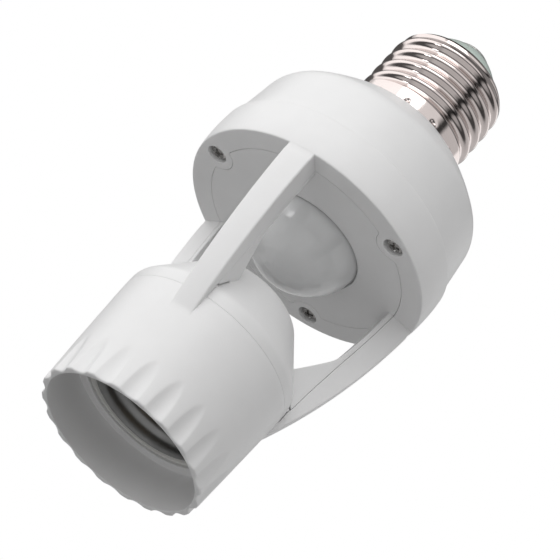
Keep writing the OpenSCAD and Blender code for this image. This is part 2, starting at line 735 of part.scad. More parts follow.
module contact_rivets() color([0.72, 0.7, 0.66]) {
    translate([leaf_x - 3, 0, contact_z - leaf_t - 0.6]) {
        cylinder(h = 0.6, r = 1.5, $fn = 32);
        cylinder(h = base_t + leaf_t + 1.2, r = 0.8, $fn = 32);
        translate([0, 0, base_t + leaf_t + 0.6]) cylinder(h = 0.6, r = 1.5, $fn = 32);
    }
    translate([8.4, 0, contact_z - 0.6]) {
        cylinder(h = 0.6, r = 1.5, $fn = 32);
        cylinder(h = base_t + 1.6, r = 0.8, $fn = 32);
        translate([0, 0, base_t + 1]) cylinder(h = 0.6, r = 1.5, $fn = 32);
    }
}

// wire from the carrier through the dome and up one arm to the board
function arm_path(a, from) = concat(from,
    [for (q = [pass_at, pass_at + pass_l * [sin(pass_tilt), cos(pass_tilt)],
               [seam_r + 1.1, 50], [seam_r + 1.6, plate_z + 0.3], [seam_r + 0.9, board_top - 2.4],
               [seam_r - 0.2, board_top + 1.4], [seam_r - 3.5, board_top + 0.9]])
        [q[0] * cos(a), q[0] * sin(a), q[1]]]);

module neutral_wire() color([0.15, 0.3, 0.65]) {
    wire(arm_path(240, [[7.5, -2.5, base_top + 1.3], [3, -4, base_top + 3.2], [-5.2, -7, base_top + 3]]),
         wire_r);
}

module switched_wire() color([0.6, 0.1, 0.1]) {
    wire(arm_path(120, [[leaf_x - 1.2, 3, base_top + 0.9], [-5.5, 7.5, base_top + 3.2]]), wire_r);
}

outer_cage();
inner_frame();
rear_cap();
housing_screws();
lens();
lens_retainer();
circuit_board();
board_screws();
infrared_detector();
daylight_sensor();
relay();
film_capacitor();
electrolytic_capacitor();
rectifier_diodes();
fusible_resistor();
control_chip();
plug_shell();
plug_insulator();
plug_contact();
plug_lead();
shell_lead();
socket_carrier();
carrier_screws();
socket_shell();
shell_tab();
contact_foot();
centre_contact();
contact_rivets();
neutral_wire();
switched_wire();
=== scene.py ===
"""Motion sensor lamp holder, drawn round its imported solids. Mouth down on z = 0, plug up."""
from math import asin, atan2, cos, degrees, exp, hypot, pi, radians, sin, sqrt, tan

import bmesh
import bpy
from mathutils import Euler, Matrix, Vector


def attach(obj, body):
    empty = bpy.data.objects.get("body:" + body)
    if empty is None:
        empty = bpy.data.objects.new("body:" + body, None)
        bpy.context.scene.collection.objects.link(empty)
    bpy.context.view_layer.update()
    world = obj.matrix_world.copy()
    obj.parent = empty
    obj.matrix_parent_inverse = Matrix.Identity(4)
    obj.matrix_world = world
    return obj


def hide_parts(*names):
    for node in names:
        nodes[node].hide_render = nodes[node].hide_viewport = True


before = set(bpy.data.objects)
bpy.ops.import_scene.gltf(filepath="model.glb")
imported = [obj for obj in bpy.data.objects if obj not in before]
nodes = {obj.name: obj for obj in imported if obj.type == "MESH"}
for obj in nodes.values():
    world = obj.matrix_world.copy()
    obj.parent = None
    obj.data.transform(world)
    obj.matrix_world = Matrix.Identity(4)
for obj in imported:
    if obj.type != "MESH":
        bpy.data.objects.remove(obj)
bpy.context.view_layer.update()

MM = 0.001

# Sizes of the object in millimetres
MOUTH_R, RIM_R, TOP_R = 17.5, 18.85, 19.8
PARTING_Z, LEDGE_Z = 25.5, 9.5
FLUTES, FLUTE_H, FLUTE_DEPTH, FLUTE_BALL, FLUTE_FROM = 20, 8.8, 0.75, 2.7, radians(11)
ARM_TOP_W, ARM_FOOT_W, ARM_BOW, ARM_WALL = 6.0, 4.9, 1.5, 1.2
PLATE_Z, PLATE_T, RING_R, RING_H, RING_WALL = 59.7, 2.0, 28.3, 9.3, 2.0
SEAM_R, LENS_R, SCREW_AT, LOBE_R, LOBE_FILLET = 23.1, 12.6, 24.3, 3.85, 0.8
LENS_RISE, LENS_WALL = 11.5, 0.6
CAP_ARC_R, CAP_ARC_AT, CAP_EDGE_R, CAP_LEAN, CAP_WALL, PLUG_Z = 54.7, -15.1, 5.0, 6.3, 1.8, 91.7
CREST_R, PITCH, THREAD_H, SHEET_T, SHELL_H, TIP_H = 13.1, 3.629, 0.485, 0.3, 20.8, 7.2
SOCKET_R, CONTACT_Z, CARRIER_R = 12.2, 27.0, 15.2
SEAM_Z = PLATE_Z + RING_H
RING_IN = RING_R - RING_WALL
SHELL_END = PLUG_Z + SHELL_H
TIP_Z = SHELL_END + TIP_H
SEAM_GAP = 0.08
ARMS = [radians(a) for a in (0, 120, 240)]
SCREWS = [radians(a) for a in (60, 180, 300)]


def arc(cx, cy, r, a, b, n):
    """Points on an arc from angle a to b, in degrees."""
    return [(cx + r * cos(radians(a + (b - a) * i / n)), cy + r * sin(radians(a + (b - a) * i / n)))
            for i in range(n + 1)]


def arc_between(a, b, r, n):
    """Points on an arc of radius r from a to b, bulging to the right of the way."""
    a, b = Vector(a), Vector(b)
    u, half = (b - a).normalized(), (b - a).length / 2
    c = (a + b) / 2 - sqrt(r * r - half * half) * Vector((u.y, -u.x))
    return arc(c.x, c.y, r, degrees(atan2(a.y - c.y, a.x - c.x)), degrees(atan2(b.y - c.y, b.x - c.x)), n)


def rounded(corners, steps=5):
    """Closed outline through corners (x, y) or (x, y, radius), with each radius drawn as an arc."""
    out = []
    for i, corner in enumerate(corners):
        p = Vector(corner[:2])
        r = corner[2] if len(corner) > 2 else 0
        if not r:
            out.append((p.x, p.y))
            continue
        u = Vector(corners[i - 1][:2]) - p
        v = Vector(corners[(i + 1) % len(corners)][:2]) - p
        reach = 0.49 * min(u.length, v.length)
        u.normalize()
        v.normalize()
        half = u.angle(v) / 2
        t = min(r / tan(half), reach)
        r = t * tan(half)
        c = p + (u + v).normalized() * (r / sin(half))
        a, b = p + u * t - c, p + v * t - c
        start = atan2(a.y, a.x)
        turn = (atan2(b.y, b.x) - start + pi) % (2 * pi) - pi
        out += [(c.x + r * cos(start + turn * k / steps), c.y + r * sin(start + turn * k / steps))
                for k in range(steps + 1)]
    return out


def between(z, table):
    """Value at z on a smooth curve through (z, value) rows in rising order."""
    if z <= table[0][0]:
        return table[0][1]
    for i in range(len(table) - 1):
        (z0, v0), (z1, v1) = table[i], table[i + 1]
        if z <= z1:
            slope = (v1 - v0) / (z1 - z0)
            m0 = slope if i == 0 else ((v1 - table[i - 1][1]) / (z1 - table[i - 1][0]))
            m1 = slope if i + 2 == len(table) else ((table[i + 2][1] - v0) / (table[i + 2][0] - z0))
            t = (z - z0) / (z1 - z0)
            h = z1 - z0
            return ((2 * t**3 - 3 * t**2 + 1) * v0 + (t**3 - 2 * t**2 + t) * h * m0
                    + (3 * t**2 - 2 * t**3) * v1 + (t**3 - t**2) * h * m1)
    return table[-1][1]


def soft_max(a, b, k):
    return (a + b + sqrt((a - b) ** 2 + k * k)) / 2


def soft_min(a, b, k):
    return (a + b - sqrt((a - b) ** 2 + k * k)) / 2


def nearest(a, spots):
    """Signed angle from the nearest of the spots."""
    return min(((a - s + pi) % (2 * pi) - pi for s in spots), key=abs)


def revolve(outline, columns, place=None):
    """Skin that a closed outline of (radius, height) sweeps round the axis."""
    verts, faces, rows = [], [], []
    for r, z in outline:
        if r < 1e-6:
            rows.append([len(verts)] * columns)
            verts.append((0, 0, z))
            continue
        row = []
        for j in range(columns):
            a = 2 * pi * j / columns
            q, h = place(r, z, a) if place else (r, z)
            row.append(len(verts))
            verts.append((q * cos(a), q * sin(a), h))
        rows.append(row)
    for i, low in enumerate(rows):
        high = rows[(i + 1) % len(rows)]
        for j in range(columns):
            k = (j + 1) % columns
            face = []
            for v in (low[j], low[k], high[k], high[j]):
                if v not in face:
                    face.append(v)
            if len(face) > 2:
                faces.append(face)
    return verts, faces


def loft(sections):
    """Skin through loops with equal numbers of points, capped at both ends."""
    n = len(sections[0])
    verts = [p for loop in sections for p in loop]
    faces = [(i * n + j, i * n + (j + 1) % n, (i + 1) * n + (j + 1) % n, (i + 1) * n + j)
             for i in range(len(sections) - 1) for j in range(n)]
    faces.append(tuple(range(n)))
    faces.append(tuple(range((len(sections) - 1) * n, len(sections) * n)))
    return verts, faces


def block(outline, z0, z1):
    """Upright prism over an outline."""
    return loft([[(x, y, z) for x, y in outline] for z in (z0, z1)])


def turned(part, angle, offset=(0, 0, 0), tilt=None):
    """Copy of a part, tilted, shifted and then turned about the axis."""
    m = Matrix.Rotation(angle, 4, "Z") @ Matrix.Translation(Vector(offset))
    if tilt:
        m = m @ Euler(tilt).to_matrix().to_4x4()
    return [tuple(m @ Vector(v)) for v in part[0]], part[1]


def make_mesh(part, name):
    mesh = bpy.data.meshes.new(name)
    mesh.from_pydata([tuple(c * MM for c in v) for v in part[0]], [], part[1])
    bm = bmesh.new()
    bm.from_mesh(mesh)
    bmesh.ops.recalc_face_normals(bm, faces=bm.faces)
    bm.to_mesh(mesh)
    bm.free()
    return mesh


def combine(parts, cuts, name):
    """One closed mesh: all parts joined, all cuts taken away."""
    base = bpy.data.objects.new(name, make_mesh(parts[0], name))
    bpy.context.scene.collection.objects.link(base)
    spare = []
    for kind, group in (("UNION", parts[1:]), ("DIFFERENCE", cuts)):
        for part in group:
            tool = bpy.data.objects.new(name + "_tool", make_mesh(part, name + "_tool"))
            bpy.context.scene.collection.objects.link(tool)
            step = base.modifiers.new("step", "BOOLEAN")
            step.operation = kind
            step.solver = "MANIFOLD"
            step.object = tool
            spare.append(tool)
    graph = bpy.context.evaluated_depsgraph_get()
    mesh = bpy.data.meshes.new_from_object(base.evaluated_get(graph))
    for o in spare + [base]:
        bpy.data.objects.remove(o)
    mesh.name = name
    return mesh


def piece(name, parts, material, body="holder", stands_for=(), cuts=(), crease=34):
    """Object that rides on a body, with smooth faces and creases where the angle is large."""
    mesh = combine(parts, cuts, name) if len(parts) + len(cuts) > 1 else make_mesh(parts[0], name)
    mesh.materials.clear()
    mesh.materials.append(material)
    mesh.polygons.foreach_set("use_smooth", [True] * len(mesh.polygons))
    mesh.set_sharp_from_angle(angle=radians(crease))
    obj = bpy.data.objects.new(name, mesh)
    bpy.context.scene.collection.objects.link(obj)
    even = obj.modifiers.new("even", "WEIGHTED_NORMAL")
    even.keep_sharp = True
    even.weight = 60
    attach(obj, body)
    if stands_for:
        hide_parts(*stands_for)
    return obj


# Materials
def material(name, colour, rough, metal=0.0, vary=0.04, vary_scale=160, rough_vary=0.06,
             grain=0.02, grain_scale=2600, wave=0.0, wave_scale=90, **sockets):
    """Shader with drifting colour, uneven gloss and a fine grain, all in object space."""
    mat = bpy.data.materials.new(name)
    mat.use_nodes = True
    tree = mat.node_tree
    tree.nodes.clear()

    def node(kind, **values):
        n = tree.nodes.new(kind)
        for key, value in values.items():
            n.inputs[key].default_value = value
        return n

    link = tree.links.new
    out = node("ShaderNodeOutputMaterial")
    shader = node("ShaderNodeBsdfPrincipled", Metallic=metal)
    for key, value in sockets.items():
        shader.inputs[key.replace("_", " ")].default_value = value
    place = node("ShaderNodeTexCoord")
    drift = node("ShaderNodeTexNoise", Scale=vary_scale, Detail=4.0, Roughness=0.55)
    link(place.outputs["Object"], drift.inputs["Vector"])
    ramp = node("ShaderNodeValToRGB")
    ramp.color_ramp.elements[0].position = 0.3
    ramp.color_ramp.elements[1].position = 0.7
    ramp.color_ramp.elements[0].color = [c * (1 - vary) for c in colour] + [1]
    ramp.color_ramp.elements[1].color = [min(1, c * (1 + vary)) for c in colour] + [1]
    link(drift.outputs["Fac"], ramp.inputs["Fac"])
    link(ramp.outputs["Color"], shader.inputs["Base Color"])
    gloss = node("ShaderNodeTexNoise", Scale=vary_scale * 5, Detail=6.0, Roughness=0.6)
    link(place.outputs["Object"], gloss.inputs["Vector"])
    spread = node("ShaderNodeMapRange")
    spread.inputs["From Min"].default_value = 0.3
    spread.inputs["From Max"].default_value = 0.7
    spread.inputs["To Min"].default_value = max(0.02, rough - rough_vary)
    spread.inputs["To Max"].default_value = min(1, rough + rough_vary)
    link(gloss.outputs["Fac"], spread.inputs["Value"])
    link(spread.outputs["Result"], shader.inputs["Roughness"])
    fine = node("ShaderNodeTexNoise", Scale=grain_scale, Detail=3.0, Roughness=0.5)
    link(place.outputs["Object"], fine.inputs["Vector"])
    bump = node("ShaderNodeBump", Strength=1.0, Distance=grain * MM)
    link(fine.outputs["Fac"], bump.inputs["Height"])
    if wave:
        slow = node("ShaderNodeTexNoise", Scale=wave_scale, Detail=2.0, Roughness=0.4)
        link(place.outputs["Object"], slow.inputs["Vector"])
        swell = node("ShaderNodeBump", Strength=1.0, Distance=wave * MM)
        link(slow.outputs["Fac"], swell.inputs["Height"])
        link(swell.outputs["Normal"], bump.inputs["Normal"])
    link(bump.outputs["Normal"], shader.inputs["Normal"])
    link(shader.outputs["BSDF"], out.inputs["Surface"])
    return mat


WHITE = (0.80, 0.797, 0.797)
shell_white = material("shell_white", WHITE, 0.45, vary=0.012, grain=0.012, wave=0.05,
                       Subsurface_Weight=0.12, Subsurface_Scale=0.002,
                       Subsurface_Radius=(1, 1, 1))
frame_white = material("frame_white", (0.79, 0.788, 0.788), 0.4, vary=0.012, grain=0.012, wave=0.05,
                       Subsurface_Weight=0.12, Subsurface_Scale=0.002,
                       Subsurface_Radius=(1, 1, 1))
cap_white = material("cap_white", (0.795, 0.793, 0.793), 0.38, vary=0.012, grain=0.012, wave=0.05,
                     Subsurface_Weight=0.12, Subsurface_Scale=0.002,
                       Subsurface_Radius=(1, 1, 1))
milky = material("milky", (0.735, 0.74, 0.742), 0.34, vary=0.02, vary_scale=90, rough_vary=0.04,
                 grain=0.001, grain_scale=900, wave=0.05, wave_scale=150, Subsurface_Weight=0.3,
                 Subsurface_Scale=0.003, Subsurface_Radius=(1, 1, 1), Coat_Weight=0.9,
                 Coat_Roughness=0.08)
nickel = material("nickel", (0.67, 0.6, 0.58), 0.1, metal=1.0, vary=0.03, rough_vary=0.04,
                  grain=0.004, grain_scale=1800, wave=0.04, wave_scale=160)
insulator = material("insulator", (0.60, 0.70, 0.645), 0.16, vary=0.04, grain=0.01,
                     Subsurface_Weight=0.2, Subsurface_Scale=0.003, Subsurface_Radius=(1, 1, 1), Coat_Weight=0.4)
tin = material("tin", (0.72, 0.71, 0.68), 0.3, metal=1.0, vary=0.08, grain=0.02, grain_scale=1400)
dark_steel = material("dark_steel", (0.46, 0.45, 0.44), 0.2, metal=1.0, vary=0.15, grain=0.01)
bright_steel = material("bright_steel", (0.6, 0.6, 0.58), 0.28, metal=1.0, vary=0.08, grain=0.02)
# Carrier plastic: its colour is set darker than the shell's white as painted shade for the deep inside of the mouth
carrier_painted_shade_grey = material("carrier_painted_shade_grey", (0.66, 0.655, 0.63), 0.5, vary=0.02, grain=0.03)
brass = material("brass", (0.74, 0.62, 0.42), 0.24, metal=1.0, vary=0.07, grain=0.01)
# Socket shell: grey metal, with its colour darkened further as painted shade for the deep inside of the mouth
socket_metal_and_painted_shade = material("socket_metal_and_painted_shade", (0.38, 0.38, 0.375), 0.5, metal=1.0, vary=0.06, grain=0.01)
bronze = material("bronze", (0.74, 0.5, 0.28), 0.34, metal=1.0, vary=0.05, grain=0.003)
black_plastic = material("black_plastic", (0.03, 0.03, 0.032), 0.5, vary=0.1, grain=0.03)


# Sleeve with grip flutes
def sleeve_at(z):
    return RIM_R + (TOP_R - RIM_R) * z / PARTING_Z


def flute_cut(z, a):
    step = 2 * pi / FLUTES
    off = a - FLUTE_FROM
    s = (off - round(off / step) * step) * RIM_R
    depth = FLUTE_DEPTH * (1 - (z / FLUTE_H) ** 2) - s * s / (2 * FLUTE_BALL)
    return soft_max(depth, 0, 0.07) if depth > -1 else 0


def fluted(r, z, a):
    share = min(1, max(0, (r - MOUTH_R - 0.35) / 0.4)) if z < FLUTE_H + 3 else 0
    return (r - share * flute_cut(z, a), z) if share else (r, z)


rim_edge = arc(RIM_R - 0.38, 0.38, 0.38, -90, 0, 5)
side_heights = [0.38 + i * 0.42 for i in range(1, 25)] + [11.5 + i * 1.4 for i in range(10)]
sleeve_outline = (rim_edge + [(sleeve_at(z), z) for z in side_heights]
                  + arc(TOP_R - 0.08, PARTING_Z - 0.07, 0.05, 0, 90, 3)
                  + [(TOP_R - 1.55, PARTING_Z - 0.02), (TOP_R - 1.55, PARTING_Z - 2.1),
                     (MOUTH_R + 0.15, PARTING_Z - 2.1), (MOUTH_R + 0.15, LEDGE_Z + 1.8),
                     (CARRIER_R + 0.3, LEDGE_Z + 1.8)]
                  + arc(CARRIER_R + 0.5, LEDGE_Z + 0.2, 0.2, 180, 270, 4)
                  + arc(MOUTH_R - 0.25, LEDGE_Z - 0.25, 0.25, 90, 0, 4)
                  + [(MOUTH_R, 7.5), (MOUTH_R, 5), (MOUTH_R, 2.5)]
                  + arc(MOUTH_R + 0.2, 0.2, 0.2, 180, 270, 3))
sleeve = revolve(sleeve_outline, FLUTES * 24, fluted)

# Arms: one long arc outside, a seam inside, rounded long edges
FOOT = Vector((RIM_R + 0.72, 21))
ROOT = Vector((RING_R - 0.32, PLATE_Z))
chord = ROOT - FOOT
arc_r = (chord.length**2 / 4 + ARM_BOW**2) / (2 * ARM_BOW)
arc_c = (FOOT + ROOT) / 2 - (arc_r - ARM_BOW) * Vector((chord.y, -chord.x)).normalized()
BARREL_R = 40
ARM_SEAM = [(25.5, 19.83), (28, 19.85), (29.6, 20.15), (33, 20.4), (38, 20.9), (43, 21.45), (52, 22.5), (59.7, 23.15)]


def ring_at(z):
    return RING_R - BARREL_R + sqrt(BARREL_R**2 - (z - PLATE_Z - 5.3) ** 2)


def arm_out(z):
    r = arc_c.x + sqrt(arc_r**2 - (z - arc_c.y) ** 2)
    if z < PARTING_Z + 2:
        r = soft_max(r, sleeve_at(z) - 0.06, 0.16)
    return soft_min(r, ring_at(z) - 0.02, 0.1) if z > PLATE_Z - 1 else r


def arm_width(z):
    return ARM_FOOT_W + (ARM_TOP_W - ARM_FOOT_W) * (z - 20) / (PLATE_Z - 19)


def strip_loop(r0, r1, w, edge0, edge1, z):
    """Section of an arm at height z, rounded by edge0 inside and edge1 outside."""
    h = w / 2
    sides = [((r0, -h), (r1, -h), 5, edge1), ((r1, -h), (r1, h), 8, edge1),
             ((r1, h), (r0, h), 5, edge0), ((r0, h), (r0, -h), 6, edge0)]
    loop = []
    for i, (a, b, n, turn) in enumerate(sides):
        before = sides[i - 1][3]
        a, b = Vector(a), Vector(b)
        d = (b - a).normalized()
        p, q = a + d * before, b - d * turn
        loop += [p + (q - p) * k / n for k in range(n)]
        side = Vector((-d.y, d.x))
        loop += [q + d * turn * sin(t) + side * turn * (1 - cos(t)) for t in (0, 0.39, 0.79, 1.18)]
    return [(sqrt(max(0, p.x**2 - p.y**2)), p.y, z) for p in loop]


def heights(a, b, step):
    n = max(1, round((b - a) / step))
    return [a + (b - a) * i / n for i in range(n + 1)]


strap_sections = [strip_loop(18.9, arm_out(z), arm_width(z), 0.12, 0.34, z)
                  for z in heights(17.2, PARTING_Z - 0.1, 0.35)]
strap_sections += [strip_loop(between(z, ARM_SEAM), arm_out(z), arm_width(z), 0.14, 0.34, z)
                   for z in heights(PARTING_Z - 0.08, PLATE_Z + 1.2, 0.7)]
strap = loft(strap_sections)


# Seam between the plate and the ring's flange, drawn in round the screws
fillet_at = SEAM_R - LOBE_FILLET
fillet_turn = (fillet_at**2 + SCREW_AT**2 - (LOBE_R + LOBE_FILLET) ** 2) / (2 * fillet_at * SCREW_AT)
fillet_turn = pi / 2 - asin(fillet_turn)
lobe_pt = Vector((SCREW_AT, 0))
lobe_pt += (Vector((cos(fillet_turn), sin(fillet_turn))) * fillet_at - lobe_pt).normalized() * LOBE_R
lobe_turn = atan2(lobe_pt.y, lobe_pt.x)


def seam_at(a):
    off = abs(nearest(a, SCREWS))
    if off < lobe_turn:
        return SCREW_AT * cos(off) - sqrt(LOBE_R**2 - (SCREW_AT * sin(off)) ** 2)
    if off < fillet_turn:
        across = off - fillet_turn
        return fillet_at * cos(across) + sqrt(LOBE_FILLET**2 - (fillet_at * sin(across)) ** 2)
    return SEAM_R


FLANGE_COLUMNS = 720
ring_outline = (arc(RING_R - 0.7, PLATE_Z + 0.35, 0.35, -90, -5, 6)
                + arc(RING_R - BARREL_R, PLATE_Z + 5.3, BARREL_R, -6.2, 4.8, 14)
                + arc(RING_R - 0.6, SEAM_Z - 0.45, 0.43, 15, 90, 6)
                + [(RING_IN, SEAM_Z), (RING_IN, PLATE_Z + PLATE_T), (SEAM_R, PLATE_Z + PLATE_T)]
                + arc(SEAM_R + 0.12, PLATE_Z + 0.12, 0.12, 180, 270, 3))


def flanged(r, z, a):
    return (r + seam_at(a) - SEAM_R + SEAM_GAP / 2, z) if r < SEAM_R + 0.2 else (r, z)


ring = revolve(ring_outline, FLANGE_COLUMNS, flanged)
hole_outline = ([(0, -1), (2.32, -1)] + arc(2.32, 0.12, 0.12, -90, -180, 4)
                + [(2.2, 1.35), (1.45, 1.35), (1.45, 3.5), (0, 3.5)])
screw_hole = revolve(hole_outline, 64)
screw_cuts = [turned(screw_hole, a, (SCREW_AT, 0, PLATE_Z)) for a in SCREWS]
channel = loft([[(r, y, z) for r, y in ((17, -1.3), (arm_out(z) - ARM_WALL, -1.3), (arm_out(z) - ARM_WALL, 1.3),
                                        (17, 1.3))] for z in heights(33.4, PLATE_Z + PLATE_T + 1, 1.5)])
outer_cage = piece("outer_cage_shell", [sleeve, ring] + [turned(strap, a) for a in ARMS], shell_white,
                   stands_for=["outer_cage"],
                   cuts=screw_cuts + [turned(channel, a) for a in ARMS])

# Inner frame: dome, liners that widen into gussets, and the sensor plate
SHOULDER, CROWN = (TOP_R - 0.05, PARTING_Z + 2.8), (TOP_R - 9.05, PARTING_Z + 15.7)
dome_outline = rounded([(0, CROWN[1]), (*CROWN, 4), (*SHOULDER, 3.2), (SHOULDER[0], PARTING_Z + 0.01, 0.06),
                        (TOP_R - 1.7, PARTING_Z + 0.01), (TOP_R - 1.7, PARTING_Z - 2, 0.1),
                        (TOP_R - 3.6, PARTING_Z - 2, 0.1), (TOP_R - 3.6, PARTING_Z + 0.5),
                        (SHOULDER[0] - 2, SHOULDER[1] - 0.6), (CROWN[0] - 1.5, CROWN[1] - 2, 2),
                        (0, CROWN[1] - 2)], 8)
dome = revolve(dome_outline, 256)
GUSSET = [(28.5, 17.6), (32.6, 14.4), (34.4, 14.4), (37.1, 16.1), (40.2, 18.1), (43, 19.8),
          (44.7, 20.45), (47.5, 20.95), (52, 21.5), (60.4, 22.05)]
liner = loft([strip_loop(between(z, GUSSET), between(z, ARM_SEAM) - SEAM_GAP / 2, arm_width(z), 0.3, 0.14, z)
              for z in heights(28.2, PLATE_Z + 0.7, 0.6)])
plate_outline = (arc(LENS_R + 0.3, PLATE_Z + 0.3, 0.3, 180, 270, 4)
                 + arc(SEAM_R - 0.12, PLATE_Z + 0.12, 0.12, -90, 0, 3)
                 + [(SEAM_R, PLATE_Z + PLATE_T), (LENS_R + 2, PLATE_Z + PLATE_T),
                    (LENS_R + 2, PLATE_Z + 0.8), (LENS_R, PLATE_Z + 0.8)])


def plated(r, z, a):
    return (r + seam_at(a) - SEAM_R - SEAM_GAP / 2, z) if r > SEAM_R - 0.2 else (r, z)


plate = revolve(plate_outline, FLANGE_COLUMNS, plated)
passage = turned(revolve([(0, 0), (1.05, 0), (1.05, 12.2), (0, 12.2)], 32), 0, (13, 0, 31.9),
                 (0, radians(52), 0))
crevice = revolve([(16.95, 32.4), (19.24, 29.12), (20.5, 28.3), (20.5, 28.78), (19.6, 29.4), (17.26, 32.7)], 256)
inner_frame = piece("inner_frame_shell", [dome, plate] + [turned(liner, a) for a in ARMS], frame_white,
                    stands_for=["inner_frame"],
                    cuts=[crevice] + [turned(passage, a) for a in ARMS[1:]])

# Rear cap
seat_r = CREST_R + 0.2
cap_c = Vector((CAP_ARC_AT, PLUG_Z - sqrt(CAP_ARC_R**2 - (seat_r - CAP_ARC_AT) ** 2)))
cap_foot = Vector((RING_R - 0.75, SEAM_Z))
cap_n = Vector((cos(radians(CAP_LEAN)), sin(radians(CAP_LEAN))))
cap_h = cap_n.dot(cap_foot - cap_c) - CAP_EDGE_R
cap_corner = cap_c + cap_h * cap_n
cap_corner += sqrt((CAP_ARC_R - CAP_EDGE_R) ** 2 - cap_h**2) * Vector((-cap_n.y, cap_n.x))
cap_turn = degrees(atan2(cap_corner.y - cap_c.y, cap_corner.x - cap_c.x))
cap_end = degrees(asin((PLUG_Z - cap_c.y) / CAP_ARC_R))


def cap_skin(d, steps):
    return (arc(cap_corner.x, cap_corner.y, CAP_EDGE_R - d, CAP_LEAN, cap_turn, steps)
            + arc(cap_c.x, cap_c.y, CAP_ARC_R - d, cap_turn, cap_end, 3 * steps)[1:])


flank = [cap_foot + (Vector(cap_skin(0, 8)[0]) - cap_foot) * i / 12 for i in range(12)]
cap_outline = ([(cap_foot.x - 0.16, SEAM_Z + 0.02), (cap_foot.x - 0.04, SEAM_Z + 0.08)]
               + [(p.x, p.y) for p in flank[1:]] + cap_skin(0, 12)
               + [(12.6, PLUG_Z), (12.6, PLUG_Z + 2.7), (11.45, PLUG_Z + 2.7),
                  (11.45, PLUG_Z + 12.3), (9.7, PLUG_Z + 12.3), (9.7, PLUG_Z - 2.2)]
               + cap_skin(CAP_WALL, 7)[-2::-1]
               + [(RING_IN - 0.62, SEAM_Z + 1), (RING_IN - 1.5, SEAM_Z + 0.4), (RING_IN - 1.5, SEAM_Z - 2),
                  (RING_IN - 0.1, SEAM_Z - 2), (RING_IN - 0.1, SEAM_Z + 0.02)])
rear_cap = piece("rear_cap_shell", [revolve(cap_outline, 320)], cap_white,
                 stands_for=["rear_cap"])

# Lens: half a ball of faint facets
lens_base = LENS_R - 0.25
lens_ball = (lens_base**2 + LENS_RISE**2) / (2 * LENS_RISE)
lens_mid = PLATE_Z + 0.8 - LENS_RISE + lens_ball
lens_edge = -degrees(asin((lens_mid - PLATE_Z - 0.8) / lens_ball))
lens_outline = (arc(0, lens_mid, lens_ball, -90, lens_edge, 60)
                + [(LENS_R + 1.85, PLATE_Z + 0.8), (LENS_R + 1.85, PLATE_Z + 1.4),
                   (lens_base - LENS_WALL - 0.3, PLATE_Z + 1.4), (lens_base - LENS_WALL - 0.3, PLATE_Z + 1)]
                + arc(0, lens_mid, lens_ball - LENS_WALL, lens_edge - 3, -90, 24))
lens_outline[0] = (0, lens_mid - lens_ball)
lens_outline[-1] = (0, lens_mid - lens_ball + LENS_WALL)
FACETS = [(0.0, 1), (14.0, 6), (30.0, 12), (46.0, 16), (62.0, 20), (80.0, 20)]


def faceted(r, z, a):
    out = hypot(r, z - lens_mid)
    if z > PLATE_Z or out < lens_ball - 0.1:
        return r, z
    tilt = degrees(atan2(r, lens_mid - z))
    for (low, _), (high, count) in zip(FACETS, FACETS[1:]):
        if tilt <= high:
            u = (tilt - low) / (high - low)
            v = (a * count / (2 * pi) + 0.5 * (count % 3)) % 1
            dip = LENS_DIP * min(1, 5 * min(u, 1 - u)) * min(1, 5 * min(v, 1 - v)) * min(1, r / 2)
            keep = 1 - dip / out
            return r * keep, lens_mid + (z - lens_mid) * keep
    return r, z


LENS_DIP = 0.035
lens = piece("lens_shell", [revolve(lens_outline, 240, faceted)], milky,
             stands_for=["lens"])


# Screws with a cross recess
def screw_parts(head_r, head_h, shank_r, length):
    outline = rounded([(0, 0), (head_r * 0.75, 0.02, 0.5), (head_r, head_h * 0.45, 0.3),
                       (head_r, head_h, 0.1), (shank_r, head_h, 0.1), (shank_r, length, 0.2),
                       (0, length)], 4)
    body = revolve(outline, 48)
    arm = head_r * 0.6
    cross = rounded([(-arm, -0.27, 0.1), (arm, -0.27, 0.1), (arm, 0.27, 0.1), (-arm, 0.27, 0.1)], 3)
    slot_cut = loft([[(x * s, y * s, z) for x, y in cross] for s, z in ((1.15, -0.3), (0.8, head_h * 0.62))])
    return body, [slot_cut, turned(slot_cut, pi / 2)]


def screws(name, node, spots, head_r, head_h, shank_r, length, mat, flip=False):
    body, recess = screw_parts(head_r, head_h, shank_r, length)
    tilt = (pi, 0, 0) if flip else None
    for i, (angle, r, z, twist) in enumerate(spots):
        spin = lambda part: turned(turned(part, twist), angle, (r, 0, z), tilt)
        obj = piece(f"{name}_{i + 1}", [spin(body)], mat, cuts=[spin(c) for c in recess])
        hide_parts(node)


screws("housing_screw", "housing_screws",
       [(a, SCREW_AT, PLATE_Z + 0.45, 0.5 + 0.9 * i) for i, a in enumerate(SCREWS)],
       1.95, 0.9, 1, 8.1, dark_steel)

# Plug: threaded shell with crimp dents, glass insulator and tip contact
plug_mean = CREST_R - THREAD_H
thread_zero = 104.7 + PITCH * 64 / 360
THREAD_FROM, THREAD_TO = PLUG_Z + 3.2, SHELL_END - 1.5
CRIMPS, CRIMP_FROM, CRIMP_Z = 12, radians(10), PLUG_Z + 0.75


def thread_share(z, low, high):
    return min(1, max(0, (z - low) / 1.8), max(0, (high - z) / 1.8))


def threaded(mean_r, h, z, a, zero):
    return mean_r + h * cos(a - 2 * pi * (z - zero) / PITCH)


def plug_place(r, z, a):
    share = thread_share(z, THREAD_FROM, THREAD_TO)
    q = r + share * THREAD_H * cos(a - 2 * pi * (z - thread_zero) / PITCH)
    if z < PLUG_Z + 2.4:
        off = a - CRIMP_FROM
        step = 2 * pi / CRIMPS
        s = (off - round(off / step) * step) * CREST_R
        q -= 0.42 * exp(-((s / 0.5) ** 2) - ((z - CRIMP_Z) / 0.42) ** 2)
    return q, z


def plug_line(z):
    if z <= THREAD_FROM:
        return CREST_R + 0.1
    if z <= THREAD_TO:
        return plug_mean + 0.3 * max(0, 1 - (z - THREAD_FROM) / 1.4)
    return plug_mean


